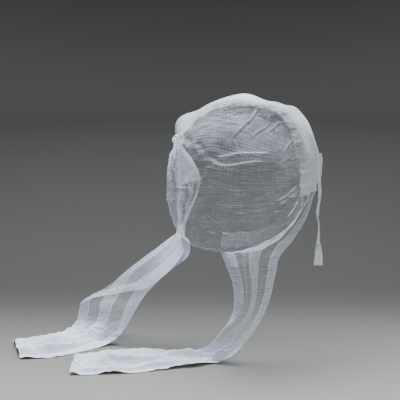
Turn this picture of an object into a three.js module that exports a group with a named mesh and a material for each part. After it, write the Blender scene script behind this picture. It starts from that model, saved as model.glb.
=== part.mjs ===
// A sheer cap with two long streamers, in the form that it takes when it is worn.
// Millimetres, +Z up. The cap opens towards -Y, so its own right is -X.
// The origin is the seat, the point inside the crown that carries the cap.
import * as THREE from 'three';
import { mergeVertices } from 'three/addons/utils/BufferGeometryUtils.js';

// Cap
const seatHeight = 383; // the seat above the surface that the streamers lie on
const capWidth = 204;
const crownBack = 105; // from the crown's middle to its back
const crownRise = 120; // from the crown's middle to its top
const crownFall = 107; // from the crown's middle to the lowest point of its bag
const middleBack = 43; // the crown's middle, behind the seat
const squareness = 2.5; // 2 is an ellipsoid, more is boxier
const clothWall = 1.2;

// Front band, binding and ties
const bandWidth = 67;
const bandWall = 2;
const bandEnds = [-6, 186]; // ring angles of the band's two lower ends
const pinchHeight = 4;
const pinchAngle = 106;
const pinchSpread = 9;
const bindingWidth = 6;
const bindingWall = 2;
const seamGap = 0.4;
const gapAngle = 0.35; // the same gap, as a ring angle at the crown's edge
const tieWidth = 14;
const tieLength = 176;
const tieWall = 1.2;
const tieAngle = 24; // ring angle above the horizontal at which a tie is sewn on
const knotSize = 13;
const knotAngle = 144;
const knotReach = 0.93; // how far out from the crown's pole the knot sits, as a share
const knotLift = -0.1; // the knot's underside above the crown

// Gathers at the crown's edge, deepest round gatherAngle, where the knot draws them together
const gatherCount = 28;
const gatherDepth = 2.2;
const gatherStart = 0.62; // how far out from the pole they begin, as a share
const gatherLeast = 0.35; // the depth of the shallowest ones, as a share
const gatherAngle = 165;
const gatherSpread = 45;

// Streamers
const ribbonWidth = 102;
const hemWidth = 19;
const stripeWidth = 22; // the doubled stripe down the ribbon's middle
const hemWall = 1.8;
const ribbonWall = 1.1;
const reachRight = 200;
const reachLeft = 330;
const foldGap = 5; // between the layers where a streamer is folded over, and the bend's share of the width
const foldBend = 0.04;
const lieHeight = 9; // how high the pleats stand where a streamer lies flat

const middleDrop = crownRise - clothWall - gatherDepth; // the crown's middle, below the seat
const degrees = Math.PI / 180;
const halfWidth = capWidth / 2;
const crownMiddle = new THREE.Vector3(0, middleBack, -middleDrop);

// The crown's edge: lean is its angle from straight back, at each ring angle.
// Ring angles go from the cap's own right (0) over the top (90) to the left (180) and the nape (270).
// taper is how far the band beyond the edge leans in towards the opening, as a slope. The band flares
// on the upper left, where the gathers pull it.
const edgeRows = [
  { angle: -90, lean: 47.5, taper: 0.1 },
  { angle: -63, lean: 53, taper: 0.1 },
  { angle: -39, lean: 68, taper: 0.1 },
  { angle: -27, lean: 79, taper: 0.1 },
  { angle: -14, lean: 88, taper: 0.1 },
  { angle: 10, lean: 91, taper: 0.0 },
  { angle: 40, lean: 93, taper: 0.0 },
  { angle: 65, lean: 102, taper: 0.02 },
  { angle: 90, lean: 106, taper: 0.02 },
  { angle: 115, lean: 98, taper: -0.12 },
  { angle: 133, lean: 87, taper: -0.52 },
  { angle: 150, lean: 82, taper: -0.86 },
  { angle: 170, lean: 83, taper: -0.18 },
  { angle: 194, lean: 86, taper: 0.1 },
  { angle: 207, lean: 78, taper: 0.1 },
  { angle: 219, lean: 68, taper: 0.1 },
  { angle: 243, lean: 54, taper: 0.1 },
  { angle: 270, lean: 47.5, taper: 0.1 },
];

// Main folds and dents of the crown: from one point of its back to another, as shares of the
// half width (across, to the cap's own left) and of the crown's rise (up), with width and depth
// as shares of the half width. A ridge has a positive depth, a hollow a negative one.
const foldRows = [
  { across: 0.12, up: 0.36, toAcross: -0.75, toUp: 0.42, width: 0.15, depth: 0.05 },
  { across: 0.3, up: 0.2, toAcross: -0.65, toUp: 0.26, width: 0.15, depth: -0.06 },
  { across: 0.72, up: 0.5, toAcross: 0.5, toUp: 0.38, width: 0.2, depth: -0.08 },
  { across: -0.1, up: 0.62, toAcross: -0.45, toUp: 0.84, width: 0.15, depth: 0.04 },
];

// Streamers where they are sewn to the binding, at ring angles of the crown's edge. The outer
// hem's place is in shares: across of the half width, back of the crown's back, and drop of the
// height from the crown's middle to its lowest point.
const rightRoot = [
  { angle: -26, across: -0.93, back: -0.7, drop: 0.1 },
  { angle: -46, across: -0.89, back: -0.62, drop: 0.33 },
  { angle: -66, across: -0.82, back: -0.5, drop: 0.6 },
  { angle: -86, across: -0.7, back: -0.37, drop: 0.82 },
];
const leftRoot = [
  { angle: 199, across: 0.97, back: -0.49, drop: 0.28 },
  { angle: 212, across: 0.98, back: -0.33, drop: 0.46 },
  { angle: 225, across: 0.98, back: -0.18, drop: 0.62 },
  { angle: 238, across: 1.02, back: -0.05, drop: 0.8 },
];

// Streamers below the cap: the inner and the outer hem, across and back from the nape in shares
// of the reach, and up in shares of the nape's height above the surface.
const rightFall = [
  { inAcross: -0.077, inBack: -0.053, inUp: 0.84, outAcross: -0.293, outBack: -0.485, outUp: 0.85 },
  { inAcross: -0.097, inBack: -0.103, inUp: 0.7, outAcross: -0.273, outBack: -0.455, outUp: 0.7 },
  { inAcross: -0.08, inBack: -0.155, inUp: 0.47, outAcross: -0.253, outBack: -0.385, outUp: 0.47 },
  { inAcross: 0.027, inBack: -0.205, inUp: 0.25, outAcross: -0.193, outBack: -0.225, outUp: 0.22 },
  { inAcross: 0.127, inBack: -0.205, inUp: 0.08, outAcross: -0.103, outBack: -0.105, outUp: 0.08 },
  { inAcross: 0.277, inBack: -0.175, inUp: 0, outAcross: 0.027, outBack: -0.045, outUp: 0 },
  { inAcross: 0.447, inBack: -0.075, inUp: 0, outAcross: 0.167, outBack: 0.115, outUp: 0 },
  { inAcross: 0.627, inBack: -0.015, inUp: 0, outAcross: 0.327, outBack: 0.275, outUp: 0 },
  { inAcross: 0.807, inBack: 0.115, inUp: 0, outAcross: 0.507, outBack: 0.445, outUp: 0 },
  { inAcross: 0.977, inBack: 0.235, inUp: 0, outAcross: 0.687, outBack: 0.575, outUp: 0 },
  { inAcross: 1.027, inBack: 0.335, inUp: 0, outAcross: 0.847, outBack: 0.675, outUp: 0 },
];
const leftFall = [
  { inAcross: 0.179, inBack: -0.08, inUp: 0.88, outAcross: 0.339, outBack: -0.234, outUp: 0.945 },
  { inAcross: 0.256, inBack: -0.071, inUp: 0.75, outAcross: 0.375, outBack: -0.211, outUp: 0.89 },
  { inAcross: 0.316, inBack: -0.061, inUp: 0.65, outAcross: 0.465, outBack: -0.201, outUp: 0.76 },
  { inAcross: 0.376, inBack: -0.061, inUp: 0.54, outAcross: 0.576, outBack: -0.201, outUp: 0.6 },
  { inAcross: 0.426, inBack: -0.051, inUp: 0.42, outAcross: 0.704, outBack: -0.198, outUp: 0.4 },
  { inAcross: 0.466, inBack: -0.051, inUp: 0.3, outAcross: 0.83, outBack: -0.152, outUp: 0.24 },
  { inAcross: 0.516, inBack: -0.041, inUp: 0.14, outAcross: 0.854, outBack: -0.134, outUp: 0.09 },
  { inAcross: 0.576, inBack: -0.011, inUp: 0.02, outAcross: 0.886, outBack: -0.091, outUp: 0 },
  { inAcross: 0.636, inBack: 0.109, inUp: 0, outAcross: 0.916, outBack: -0.021, outUp: 0 },
  { inAcross: 0.706, inBack: 0.249, inUp: 0, outAcross: 0.946, outBack: 0.079, outUp: 0 },
  { inAcross: 0.836, inBack: 0.349, inUp: 0, outAcross: 1.006, outBack: 0.179, outUp: 0 },
];

// How much of a streamer's width is folded over along its outer hem, at each row of its two tables.
const rightOver = [
  { row: 0, over: 0 },
  { row: 15, over: 0 },
];
const leftOver = [
  { row: 0, over: 0 },
  { row: 3, over: 0.1 },
  { row: 5, over: 0.46 },
  { row: 8, over: 0.5 },
  { row: 9, over: 0.33 },
  { row: 10, over: 0.04 },
  { row: 10.5, over: 0 },
  { row: 15, over: 0 },
];

function lookup(rows, key, column, at) {
  let k = 1;
  while (k < rows.length - 1 && rows[k][key] < at) {
    k += 1;
  }
  const from = rows[k - 1];
  const to = rows[k];
  const span = to[key] - from[key];
  const share = THREE.MathUtils.clamp((at - from[key]) / span, 0, 1);
  const slope = (i) => {
    const before = rows[Math.max(i - 1, 0)];
    const after = rows[Math.min(i + 1, rows.length - 1)];
    return (after[column] - before[column]) / (after[key] - before[key]);
  };
  const square = share * share;
  const cube = square * share;
  const height = (1 - 3 * square + 2 * cube) * from[column] + (3 * square - 2 * cube) * to[column];
  return height + span * ((share - 2 * square + cube) * slope(k - 1) + (cube - square) * slope(k));
}

function roundAngle(angle) {
  return THREE.MathUtils.euclideanModulo(angle + 90, 360) - 90;
}

function direction(angle, lean) {
  const out = Math.sin(lean * degrees);
  const turn = angle * degrees;
  return new THREE.Vector3(-Math.cos(turn) * out, Math.cos(lean * degrees), Math.sin(turn) * out);
}

// How far the crown stands off its plain bag: gathers at the edge, then folds and dents.
function relief(point, angle, reach) {
  const nearEdge = THREE.MathUtils.smoothstep(reach, gatherStart, 0.98);
  const away = (roundAngle(angle) - gatherAngle) / gatherSpread;
  const drawn = gatherLeast + (1 - gatherLeast) * Math.exp(-away * away);
  let height = gatherDepth * drawn * nearEdge * Math.cos(gatherCount * angle * degrees);
  const across = point.x;
  const up = point.z - crownMiddle.z;
  foldRows.forEach((row) => {
    const start = new THREE.Vector2(row.across * halfWidth, row.up * crownRise);
    const end = new THREE.Vector2(row.toAcross * halfWidth, row.toUp * crownRise);
    const along = end.clone().sub(start);
    const at = new THREE.Vector2(across, up).sub(start);
    const share = THREE.MathUtils.clamp(at.dot(along) / along.lengthSq(), 0, 1);
    const off = at.addScaledVector(along, -share).length() / (row.width * halfWidth);
    height += row.depth * halfWidth * Math.exp(-off * off) * (1 - nearEdge);
  });
  return height;
}

function crownPoint(angle, reach) {
  const way = direction(angle, reach * lookup(edgeRows, 'angle', 'lean', roundAngle(angle)));
  const parts = [
    Math.abs(way.x) / halfWidth,
    Math.abs(way.y) / crownBack,
    Math.abs(way.z) / (way.z > 0 ? crownRise : crownFall),
  ];
  const radius = parts.reduce((sum, part) => sum + part ** squareness, 0) ** (-1 / squareness);
  const point = crownMiddle.clone().addScaledVector(way, radius);
  return point.addScaledVector(way, relief(point, angle, reach));
}

function crownNormal(angle, reach) {
  const step = 0.02;
  const outward = crownPoint(angle, Math.min(reach + step, 1)).sub(crownPoint(angle, reach - step));
  const around = crownPoint(angle + 2, reach).sub(crownPoint(angle - 2, reach));
  return around.cross(outward).normalize().negate();
}

// Cloth beyond the crown's edge: the band over the top and the binding below.
function brimPoint(angle, forward) {
  const edge = crownPoint(angle, 1);
  const inward = crownMiddle.clone().sub(edge).setY(0).normalize();
  const up = THREE.MathUtils.smoothstep(Math.sin(angle * degrees), -0.25, 0.1);
  const before = edge.clone().sub(crownPoint(angle, 0.94)).normalize();
  const taper = lookup(edgeRows, 'angle', 'taper', roundAngle(angle));
  const ahead = new THREE.Vector3(0, -1, 0).addScaledVector(inward, taper).normalize();
  return edge.addScaledVector(before.lerp(ahead, up).normalize(), forward);
}

function brimNormal(angle, forward) {
  const ahead = brimPoint(angle, forward + 1).sub(brimPoint(angle, forward - 1));
  const around = brimPoint(angle + 1, forward).sub(brimPoint(angle - 1, forward));
  return around.cross(ahead).normalize().negate();
}

// The middle of the band's wall, which the streamers and ties meet.
function brimCore(angle, forward) {
  return brimPoint(angle, forward).addScaledVector(brimNormal(angle, forward), -bandWall / 2);
}

// Closed cloth from two grids of points, rows by columns, one for each face.
function clothSolid(outer, inner) {
  const rows = outer.length;
  const columns = outer[0].length;
  const points = [...outer.flat(), ...inner.flat()];
  const far = rows * columns;
  const faces = [];
  const quad = (a, b, c, d) => faces.push(a, b, c, a, c, d);
  for (let i = 0; i < rows - 1; i += 1) {
    for (let j = 0; j < columns - 1; j += 1) {
      const a = i * columns + j;
      quad(a, a + 1, a + 1 + columns, a + columns);
      quad(far + a, far + a + columns, far + a + 1 + columns, far + a + 1);
    }
  }
  const last = (rows - 1) * columns;
  for (let j = 0; j < columns - 1; j += 1) {
    quad(j, far + j, far + j + 1, j + 1);
    quad(last + j, last + j + 1, far + last + j + 1, far + last + j);
  }
  for (let i = 0; i < rows - 1; i += 1) {
    const a = i * columns;
    const b = a + columns - 1;
    quad(a, a + columns, far + a + columns, far + a);
    quad(b, far + b, far + b + columns, b + columns);
  }
  return solidFrom(points, faces);
}

function solidFrom(points, faces) {
  const geometry = new THREE.BufferGeometry();
  const places = points.flatMap((point) => point.toArray());
  geometry.setAttribute('position', new THREE.Float32BufferAttribute(places, 3));
  geometry.setIndex(faces);
  geometry.computeVertexNormals();
  return geometry;
}

function evenly(count, from, to) {
  return Array.from({ length: count + 1 }, (unused, k) => from + (to - from) * k / count);
}

function crownGeometry() {
  const around = gatherCount * 2;
  const angles = evenly(around, 0, 360).slice(0, around);
  const reaches = evenly(15, 0.05, 1);
  const outer = reaches.map((reach) => angles.map((angle) => crownPoint(angle, reach)));
  const inner = reaches.map((reach) => angles.map(
    (angle) => crownPoint(angle, reach).addScaledVector(crownNormal(angle, reach), -clothWall),
  ));
  const points = [...outer.flat(), ...inner.flat()];
  const far = outer.length * around;
  const faces = [];
  const quad = (a, b, c, d) => faces.push(a, b, c, a, c, d);
  for (let i = 0; i < outer.length - 1; i += 1) {
    for (let j = 0; j < around; j += 1) {
      const a = i * around + j;
      const b = i * around + (j + 1) % around;
      quad(a, a + around, b + around, b);
      quad(far + a, far + b, far + b + around, far + a + around);
    }
  }
  const pole = points.length;
  const top = crownPoint(0, 0);
  points.push(top, top.clone().setY(top.y - clothWall));
  const last = (outer.length - 1) * around;
  for (let j = 0; j < around; j += 1) {
    const next = (j + 1) % around;
    faces.push(pole, j, next, pole + 1, far + next, far + j);
    quad(last + j, far + last + j, far + last + next, last + next);
  }
  return solidFrom(points, faces);
}

function pinch(angle, forward) {
  const away = (angle - pinchAngle) / pinchSpread;
  const ahead = THREE.MathUtils.smoothstep(forward, 0.1 * bandWidth, 0.5 * bandWidth);
  return pinchHeight * Math.exp(-away * away) * ahead;
}

function bandGeometry() {
  const angles = evenly(48, bandEnds[0], bandEnds[1]);
  const strips = evenly(4, seamGap, bandWidth);
  const layer = (depth) => strips.map((forward) => angles.map((angle) => {
    const normal = brimNormal(angle, forward);
    return brimPoint(angle, forward).addScaledVector(normal, pinch(angle, forward) - depth);
  }));
  return clothSolid(layer(bandWall), layer(0));
}

function bindingGeometry() {
  const angles = evenly(48, bandEnds[1] + gapAngle, 360 + bandEnds[0] - gapAngle);
  const strips = [seamGap, bindingWidth];
  const layer = (depth) => strips.map((forward) => angles.map(
    (angle) => brimPoint(angle, forward).addScaledVector(brimNormal(angle, forward), -depth),
  ));
  return clothSolid(layer(bindingWall), layer(0));
}

// A streamer is lofted through sections from its inner to its outer hem. Where the two hems are
// closer than the ribbon is wide, the rest of the width stands in soft pleats between them.
const pleats = 2;
const hemShare = hemWidth / ribbonWidth;
const stripeShare = stripeWidth / ribbonWidth;
const ribbonColumns = [
  ...evenly(3, 0, hemShare).slice(0, -1),
  ...evenly(3, hemShare, 0.5 - stripeShare / 2).slice(0, -1),
  ...evenly(3, 0.5 - stripeShare / 2, 0.5 + stripeShare / 2).slice(0, -1),
  ...evenly(3, 0.5 + stripeShare / 2, 1 - hemShare).slice(0, -1),
  ...evenly(3, 1 - hemShare, 1),
];

// Place across the chord and lift off it, where a share of the width is folded over.
function foldOver(share, over) {
  const laid = 1 - over;
  const bend = foldBend * Math.min(over / (2 * foldBend), 1);
  const away = Math.hypot(share - laid, bend) - bend;
  const across = 1 - away / (Math.hypot(laid, bend) - bend);
  const lift = foldGap * THREE.MathUtils.smoothstep(share, laid - foldBend, laid + foldBend);
  return [across, over > 0 ? lift * Math.min(over / foldBend, 1) : 0];
}

function streamerGeometry(start, root, fall, overRows, reach, face) {
  const nape = crownPoint(270, 1);
  const lowest = hemWall / 2 - seatHeight;
  const place = (across, back, up) => new THREE.Vector3(
    across * reach,
    nape.y + back * reach,
    lowest + up * (nape.z - lowest),
  );
  const sewn = bindingWidth + seamGap + hemWall / 2;
  const rootOuter = root.map((row) => new THREE.Vector3(
    row.across * halfWidth,
    middleBack + row.back * crownBack,
    -middleDrop - row.drop * crownFall,
  ));
  const outerPath = new THREE.CatmullRomCurve3([
    brimCore(start, bandWidth),
    ...rootOuter,
    ...fall.map((row) => place(row.outAcross, row.outBack, row.outUp)),
  ]);
  const sewnEnd = root[root.length - 1].angle;
  const innerPath = new THREE.CatmullRomCurve3([
    brimCore(sewnEnd, sewn),
    ...fall.map((row) => place(row.inAcross, row.inBack, row.inUp)),
  ]);
  const stations = root.length + fall.length;
  const sewnAngles = [start, ...root.map((row) => row.angle)];
  const innerAt = (station) => {
    if (station > root.length) {
      return innerPath.getPoint((station - root.length) / fall.length);
    }
    const k = Math.min(Math.floor(station), root.length - 1);
    const angle = THREE.MathUtils.lerp(sewnAngles[k], sewnAngles[k + 1], station - k);
    return brimCore(angle, sewn);
  };
  const section = (station, share) => {
    const inner = innerAt(station);
    const outer = outerPath.getPoint(station / stations);
    const before = Math.max(station - 0.4, 0);
    const after = Math.min(station + 0.4, stations);
    const above = innerAt(before).add(outerPath.getPoint(before / stations));
    const below = innerAt(after).add(outerPath.getPoint(after / stations));
    const chord = outer.clone().sub(inner);
    const normal = below.sub(above).cross(chord).normalize().multiplyScalar(face);
    const over = Math.max(lookup(overRows, 'row', 'over', station), 0);
    const [across, lift] = foldOver(share, over);
    const ramp = (length) => length / (2 * pleats);
    const laid = ribbonWidth * (1 - over);
    const height = Math.sqrt(Math.max(ramp(laid) ** 2 - ramp(chord.length()) ** 2, 0));
    const raised = inner.z + across * chord.z - lowest;
    const most = Math.min(height, lieHeight + raised / 3);
    const eased = most * THREE.MathUtils.smoothstep(station, root.length - 1, root.length + 2);
    const rise = eased * (1 - Math.cos(2 * Math.PI * pleats * across)) / 2;
    const point = inner.addScaledVector(chord, across).addScaledVector(normal, rise + lift);
    point.z = Math.max(point.z, lowest);
    return point;
  };
  const rows = evenly(stations * 2, 0, stations);
  const near = 0.01;
  const layer = (side) => rows.map((station) => ribbonColumns.map((share) => {
    const ahead = section(Math.min(station + near, stations), share);
    const along = ahead.sub(section(Math.max(station - near, 0), share));
    const beside = section(station, Math.min(share + near, 1));
    const across = beside.sub(section(station, Math.max(share - near, 0)));
    const normal = station === 0
      ? brimNormal(start, THREE.MathUtils.lerp(sewn, bandWidth, share))
      : along.cross(across).normalize().multiplyScalar(face);
    const hemmed = Math.min(share, 1 - share) < hemShare + near / 10;
    const striped = Math.abs(share - 0.5) < stripeShare / 2 + near / 10;
    const wall = hemmed || striped ? hemWall : ribbonWall;
    return section(station, share).addScaledVector(normal, side * wall / 2);
  }));
  return face > 0 ? clothSolid(layer(-1), layer(1)) : clothSolid(layer(1), layer(-1));
}

// A narrow tie that hangs in front of the band's front edge. turn swings its width from straight
// ahead towards the cap's own side, and width is a share of the tie's own, least where it twists.
const tieRows = [
  { along: 0, turn: 0, width: 1 },
  { along: 0.3, turn: 8, width: 0.95 },
  { along: 0.58, turn: 12, width: 0.85 },
  { along: 0.72, turn: -14, width: 0.7 },
  { along: 0.84, turn: 28, width: 0.72 },
  { along: 0.92, turn: 52, width: 0.9 },
  { along: 1, turn: 60, width: 1 },
];

function tieGeometry(angle, side) {
  const edge = brimCore(angle, bandWidth);
  const rows = evenly(20, 0, 1);
  const layer = (offset) => rows.map((along) => {
    const turn = lookup(tieRows, 'along', 'turn', along) * degrees;
    const width = lookup(tieRows, 'along', 'width', along) * tieWidth;
    const across = new THREE.Vector3(side * Math.sin(turn), -Math.cos(turn), 0);
    const flat = new THREE.Vector3(side * Math.cos(turn), Math.sin(turn), 0);
    const centre = edge.clone();
    centre.y -= tieWidth / 2 + seamGap;
    centre.z -= along * tieLength;
    return evenly(3, -0.5, 0.5).map((share) => centre.clone()
      .addScaledVector(across, share * width)
      .addScaledVector(flat, offset));
  });
  return clothSolid(layer(side * tieWall / 2), layer(-side * tieWall / 2));
}

function knotGeometry() {
  const ball = new THREE.SphereGeometry(knotSize / 2, 12, 8);
  const geometry = mergeVertices(ball.deleteAttribute('uv').deleteAttribute('normal'));
  const out = crownNormal(knotAngle, knotReach);
  const along = new THREE.Vector3(0, -1, 0);
  const beside = new THREE.Vector3().crossVectors(out, along).normalize();
  const frame = new THREE.Matrix4().makeBasis(along, beside, out);
  const lobes = 6;
  const flatness = 0.6;
  const places = geometry.getAttribute('position');
  const lift = flatness * knotSize / 2 + knotLift;
  const seat = crownPoint(knotAngle, knotReach).addScaledVector(out, lift);
  for (let k = 0; k < places.count; k += 1) {
    const point = new THREE.Vector3().fromBufferAttribute(places, k);
    const swell = 1 + 0.16 * Math.cos(lobes * Math.atan2(point.y, point.x));
    point.set(point.x * swell, point.y * swell, point.z * flatness).applyMatrix4(frame).add(seat);
    places.setXYZ(k, point.x, point.y, point.z);
  }
  return geometry;
}

const ends = [bandEnds[0] - gapAngle, bandEnds[1] + gapAngle];
const meshes = [
  ['crown', crownGeometry(), 0xd4d6dc],
  ['front_band', bandGeometry(), 0xe6e8ee],
  ['crown_binding', bindingGeometry(), 0xe2e4ea],
  ['streamer_right', streamerGeometry(ends[0], rightRoot, rightFall, rightOver, reachRight, 1), 0xdfe2ea],
  ['streamer_left', streamerGeometry(ends[1], leftRoot, leftFall, leftOver, reachLeft, -1), 0xdfe2ea],
  ['tie_right', tieGeometry(tieAngle, -1), 0xdfe2ea],
  ['tie_left', tieGeometry(180 - tieAngle, 1), 0xdfe2ea],
  ['gather_knot', knotGeometry(), 0xe6e8ee],
];

const cap = new THREE.Group();
meshes.forEach(([name, geometry, color]) => {
  const material = new THREE.MeshStandardMaterial({ color, roughness: 0.85, metalness: 0 });
  const mesh = new THREE.Mesh(geometry, material);
  mesh.name = name;
  cap.add(mesh);
});

export default cap;
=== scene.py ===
# A sheer muslin cap with two streamers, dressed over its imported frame. Metres, +Z up, opening towards -Y.
import bpy
import math
import numpy as np
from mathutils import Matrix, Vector


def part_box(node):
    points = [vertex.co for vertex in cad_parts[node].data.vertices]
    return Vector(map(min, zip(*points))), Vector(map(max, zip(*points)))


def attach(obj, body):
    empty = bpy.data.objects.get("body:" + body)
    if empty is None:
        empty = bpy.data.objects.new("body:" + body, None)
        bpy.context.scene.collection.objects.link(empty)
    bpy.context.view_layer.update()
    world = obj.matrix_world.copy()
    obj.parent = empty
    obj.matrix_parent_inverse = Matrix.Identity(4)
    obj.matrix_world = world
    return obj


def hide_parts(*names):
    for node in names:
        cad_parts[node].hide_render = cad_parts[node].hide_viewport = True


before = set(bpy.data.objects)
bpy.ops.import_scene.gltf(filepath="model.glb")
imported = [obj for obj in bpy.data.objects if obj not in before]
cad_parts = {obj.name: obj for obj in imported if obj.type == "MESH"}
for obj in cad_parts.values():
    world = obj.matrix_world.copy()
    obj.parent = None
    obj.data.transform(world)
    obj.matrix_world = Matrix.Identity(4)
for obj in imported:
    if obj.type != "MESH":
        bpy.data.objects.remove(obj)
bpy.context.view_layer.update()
bpy.ops.object.select_all(action="DESELECT")


def smooth(value, low, high):
    share = np.clip((np.asarray(value, float) - low) / (high - low), 0, 1)
    return share * share * (3 - 2 * share)


def unit(vector):
    return vector / np.maximum(np.linalg.norm(vector, axis=-1, keepdims=True), 1e-12)


def lookUp(rows, at, column=1):  # a smooth curve through one column of a table, over its first
    keys = np.array([row[0] for row in rows], float)
    values = np.array([row[column] for row in rows], float)
    last = len(rows) - 1
    before = np.maximum(np.arange(last + 1) - 1, 0)
    after = np.minimum(np.arange(last + 1) + 1, last)
    slopes = (values[after] - values[before]) / (keys[after] - keys[before])
    at = np.asarray(at, float)
    k = np.clip(np.searchsorted(keys, at), 1, last)
    span = keys[k] - keys[k - 1]
    t = np.clip((at - keys[k - 1]) / span, 0, 1)
    held = (1 - 3 * t ** 2 + 2 * t ** 3) * values[k - 1] + (3 * t ** 2 - 2 * t ** 3) * values[k]
    return held + span * ((t - 2 * t ** 2 + t ** 3) * slopes[k - 1] + (t ** 3 - t ** 2) * slopes[k])


def curveAt(points, t):  # a curve through points, t from 0 to 1
    points = np.array(points, float)
    ends = np.vstack([2 * points[0] - points[1], points, 2 * points[-1] - points[-2]])
    at = np.clip(np.asarray(t, float), 0, 1) * (len(points) - 1)
    k = np.clip(np.floor(at).astype(int), 0, len(points) - 2)
    w = (at - k)[..., None]
    a, b, c, d = ends[k], ends[k + 1], ends[k + 2], ends[k + 3]
    ab, bc, cd = [np.sqrt(np.linalg.norm(q - p, axis=-1, keepdims=True)) for p, q in ((a, b), (b, c), (c, d))]
    leave = ((b - a) / ab - (c - a) / (ab + bc) + (c - b) / bc) * bc
    arrive = ((c - b) / bc - (d - b) / (bc + cd) + (d - c) / cd) * bc
    return b + leave * w + (3 * (c - b) - 2 * leave - arrive) * w ** 2 + (2 * (b - c) + leave + arrive) * w ** 3


def ripple(seed, x, y, size, waves=9):  # soft uneven waves of about that size, from -1 to 1
    rng = np.random.default_rng(seed)
    turns = rng.uniform(0, math.tau, waves)
    stretches = rng.uniform(0.6, 1.7, waves)
    phases = rng.uniform(0, math.tau, waves)
    total = 0
    for turn, stretch, phase in zip(turns, stretches, phases):
        total = total + np.sin((x * math.cos(turn) + y * math.sin(turn)) * math.tau * stretch / size + phase)
    return total / math.sqrt(waves) / 1.6
def rumpled(rows, x, y, seed=0):  # the sum of a table of ripples: seed, stretch of x and y, size, height
    return sum(tall * ripple(seed + number, x * wide, y * long, size) for number, wide, long, size, tall in rows)


def nearLine(places, x, y):  # distance from a bent line, which side of it, and the share of the way along it
    count = 6 * (len(places) - 1)
    line = curveAt([(*place, 0) for place in places], np.linspace(0, 1, count + 1))[:, :2]
    near, side, way = np.full(np.broadcast(x, y).shape, 1e9), 0, 0
    for k in range(count):
        alongX, alongY = line[k + 1] - line[k]
        square = alongX ** 2 + alongY ** 2
        share = np.clip(((x - line[k, 0]) * alongX + (y - line[k, 1]) * alongY) / square, 0, 1)
        off = np.hypot(x - line[k, 0] - share * alongX, y - line[k, 1] - share * alongY)
        turn = (x - line[k, 0]) * alongY - (y - line[k, 1]) * alongX
        side = np.where(off < near, np.sign(turn), side)
        way = np.where(off < near, (k + share) / count, way)
        near = np.minimum(off, near)
    return near, side, way


creasing = {"fadeIn": 0.22, "fadeOut": 0.72, "trough": 0.6, "troughAt": 1.9, "bunchWidth": 0.9}


def creased(creases, x, y):  # height of a table of creases, and how far the cloth bunches on them
    height, bunched = np.zeros(np.broadcast(x, y).shape), np.zeros(np.broadcast(x, y).shape)
    for width, depth, dense, places in creases:
        off, side, way = nearLine(places, x, y)
        fade = smooth(way, 0, creasing["fadeIn"]) * (1 - smooth(way, creasing["fadeOut"], 1))
        trough = creasing["trough"] * np.exp(-(off * side / width - creasing["troughAt"]) ** 2)
        height = height + depth * fade * (np.exp(-(off / width) ** 2) - trough)
        bunched = np.maximum(bunched, dense * fade * np.exp(-(off / width / creasing["bunchWidth"]) ** 2))
    return height, bunched


def sheetGrid(name, points, flat, layers=None):  # a grid of cloth through rows of points, its flat place as UV
    rows, columns = points.shape[:2]
    bpy.ops.object.select_all(action="DESELECT")
    bpy.ops.mesh.primitive_grid_add(x_subdivisions=columns - 1, y_subdivisions=rows - 1, size=1)
    piece = bpy.context.object
    piece.name = name
    mesh = piece.data
    mesh.name = name
    mesh.vertices.foreach_set("co", np.ascontiguousarray(points, float).reshape(-1))
    corner = np.empty(len(mesh.loops), int)
    mesh.loops.foreach_get("vertex_index", corner)
    mesh.uv_layers[0].data.foreach_set("uv", np.ascontiguousarray(flat, float).reshape(-1, 2)[corner].reshape(-1))
    if layers is not None:  # how much denser the cloth is there, from more layers or a stitched edge
        dense = np.ascontiguousarray(np.broadcast_to(layers, points.shape[:2]), float)
        mesh.attributes.new("layers", "FLOAT", "POINT").data.foreach_set("value", dense.reshape(-1))
    mesh.update()
    piece.location = (0, 0, 0)
    bpy.ops.object.shade_smooth()
    return piece


def joined(pieces, name):
    bpy.ops.object.select_all(action="DESELECT")
    for piece in pieces:
        piece.select_set(True)
    bpy.context.view_layer.objects.active = pieces[0]
    if len(pieces) > 1:
        bpy.ops.object.join()
    piece = bpy.context.object
    piece.name = name
    piece.data.name = name
    return piece


def welded(piece, gap=1e-5):
    bpy.ops.object.select_all(action="DESELECT")
    piece.select_set(True)
    bpy.context.view_layer.objects.active = piece
    bpy.ops.object.mode_set(mode="EDIT")
    bpy.ops.mesh.select_all(action="SELECT")
    bpy.ops.mesh.remove_doubles(threshold=gap)
    bpy.ops.mesh.normals_make_consistent(inside=False)
    bpy.ops.object.mode_set(mode="OBJECT")
    return piece


def gridNormals(points):
    down = np.gradient(points, axis=0)
    across = np.gradient(points, axis=1)
    return unit(np.cross(across, down))


def lookAt(thing, target):
    thing.rotation_euler = (Vector(target) - Vector(thing.location)).to_track_quat("-Z", "Y").to_euler()


view = {"place": (-0.7837, 1.5786, 0.2254), "target": (0.0699, 0.0387, -0.1488), "lens": 104.5, "sensor": 36,
        "floor": -0.383, "toward": (-0.4848, 0.8746)}

bpy.ops.object.camera_add(location=view["place"])
camera = bpy.context.object
lookAt(camera, view["target"])
camera.data.lens = view["lens"]
camera.data.sensor_width = view["sensor"]
bpy.context.scene.camera = camera

stage = {"flat": 2.6, "bend": 0.6, "height": 2.2, "around": 72, "flatSteps": 30, "bendSteps": 16,
         "front": 1.6, "near": 0.8, "rough": 0.9, "specular": 0.1, "warmth": 0.985}
# way from in front of the cap to behind it, and the grey painted on the paper there: a painted pool of light, lighter
# in front of the cap and darker behind it, where the light falls off
paintedPoolTones = [(0.0, 0.36), (1.30, 0.35), (1.46, 0.275), (1.57, 0.215), (1.70, 0.135), (1.84, 0.068), (2.0, 0.065),
              (2.2, 0.067), (2.70, 0.072), (3.46, 0.102), (4.0, 0.12), (4.5, 0.125), (4.9, 0.088), (5.2, 0.06),
              (5.5, 0.045), (6.4, 0.036)]


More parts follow.
